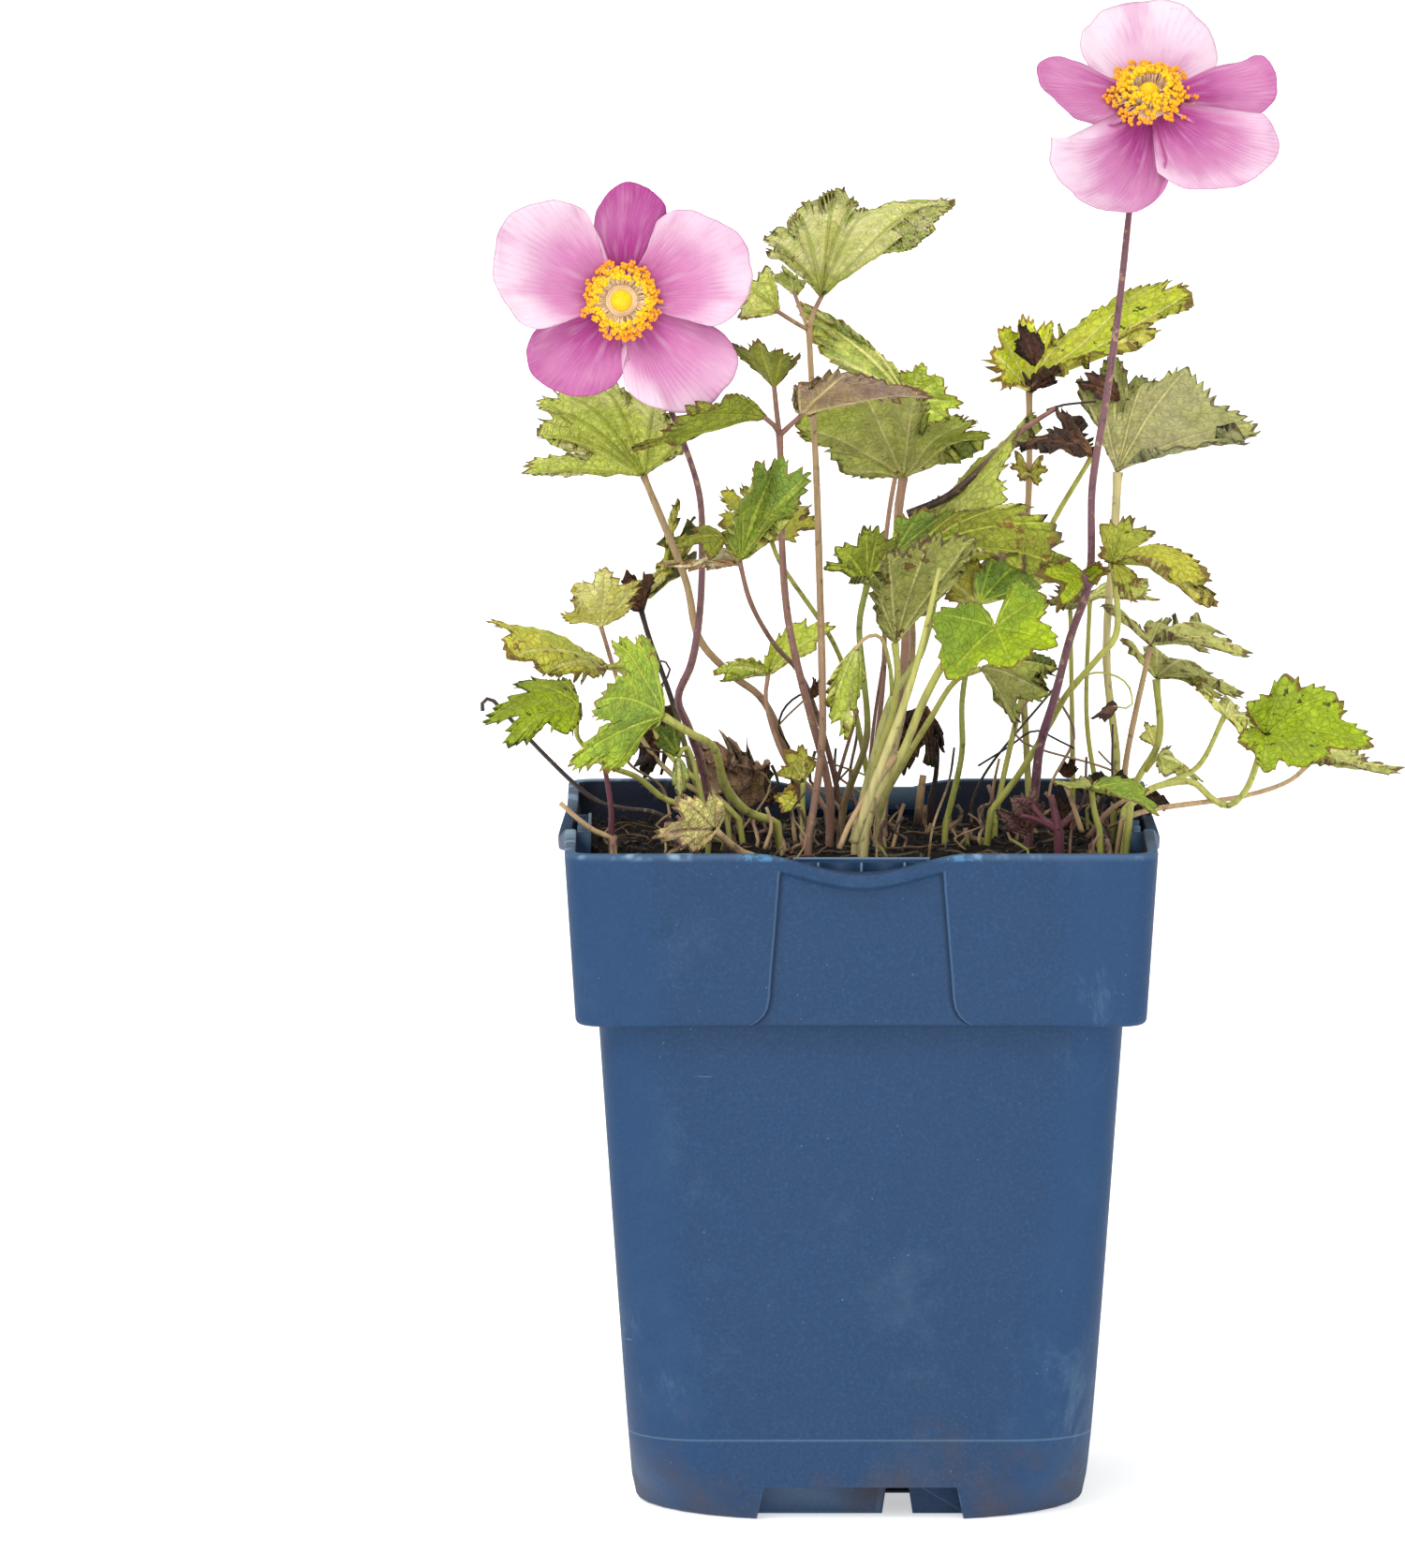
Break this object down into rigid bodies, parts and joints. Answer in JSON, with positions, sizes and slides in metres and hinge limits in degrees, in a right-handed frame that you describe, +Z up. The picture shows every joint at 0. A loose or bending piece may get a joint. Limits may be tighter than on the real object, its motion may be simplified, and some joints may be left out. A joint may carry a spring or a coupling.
{
  "type": "potted japanese anemone",
  "caption": "Square blue nursery pot of dark peat with a clump of toothed leaves on slender stalks and pink open blooms on tall stems.",
  "frame": {"origin": "middle of the underside of the pot, on the surface it stands on", "axes": "+Z up, -Y towards the front that the picture shows, +X to its right"},
  "size_m": [0.1748, 0.1132, 0.2808],
  "materials": {
    "pot_plastic": "moulded, dull, lightly scuffed",
    "peat": "loose dark peat with fibres",
    "leaf": "dull, veined, with brown spots and edges",
    "dried_leaf": "dry, crumpled",
    "bare_stem": "thin, smooth",
    "flower_stalk": "smooth, finely hairy",
    "sepals": "silky, finely veined",
    "stamens": "powdery",
    "carpels": "finely bumpy"
  },
  "bodies": {
    "root": {"bloom_left_carpels": "carpels", "bloom_left_sepals": "sepals", "bloom_left_stalk": "flower_stalk", "bloom_left_stamens": "stamens", "bloom_right_carpels": "carpels", "bloom_right_sepals": "sepals", "bloom_right_stalk": "flower_stalk", "bloom_right_stamens": "stamens", "dried_leaf_centre": "dried_leaf", "dried_leaf_curled": "dried_leaf", "dried_leaf_left": "dried_leaf", "dried_leaf_right": "dried_leaf", "leaf_arched_grey_green": "leaf", "leaf_arched_olive": "leaf", "leaf_back_right": "leaf", "leaf_back_small": "leaf", "leaf_blackened_left": "leaf", "leaf_blackened_right": "leaf", "leaf_blue_green": "leaf", "leaf_brown_edged": "leaf", "leaf_brown_edged_right": "leaf", "leaf_dark_lobed": "leaf", "leaf_dark_trio": "leaf", "leaf_far_right_small": "leaf", "leaf_far_right_tip": "leaf", "leaf_front_rim": "leaf", "leaf_green_left": "leaf", "leaf_hanging_left": "leaf", "leaf_large_palmate": "leaf", "leaf_lime_front": "leaf", "leaf_lobed_left": "leaf", "leaf_long_folded": "leaf", "leaf_long_upper": "leaf", "leaf_middle_trio": "leaf", "leaf_olive_drooping": "leaf", "leaf_pale_palmate": "leaf", "leaf_right_lower": "leaf", "leaf_right_upper": "leaf", "leaf_rim_right": "leaf", "leaf_small_speckled": "leaf", "leaf_spotted_centre": "leaf", "leaf_spotted_left": "leaf", "leaf_spotted_right": "leaf", "leaf_tall_yellow_green": "leaf", "leaf_top_trio": "leaf", "leaf_two_lobed": "leaf", "leaf_yellow_fan": "leaf", "pot": "pot_plastic", "soil": "peat", "stem_dark_arching": "bare_stem", "stem_red_shoot": "bare_stem", "twig_left_rim": "bare_stem", "young_shoots": "bare_stem"}
  },
  "joints": []
}
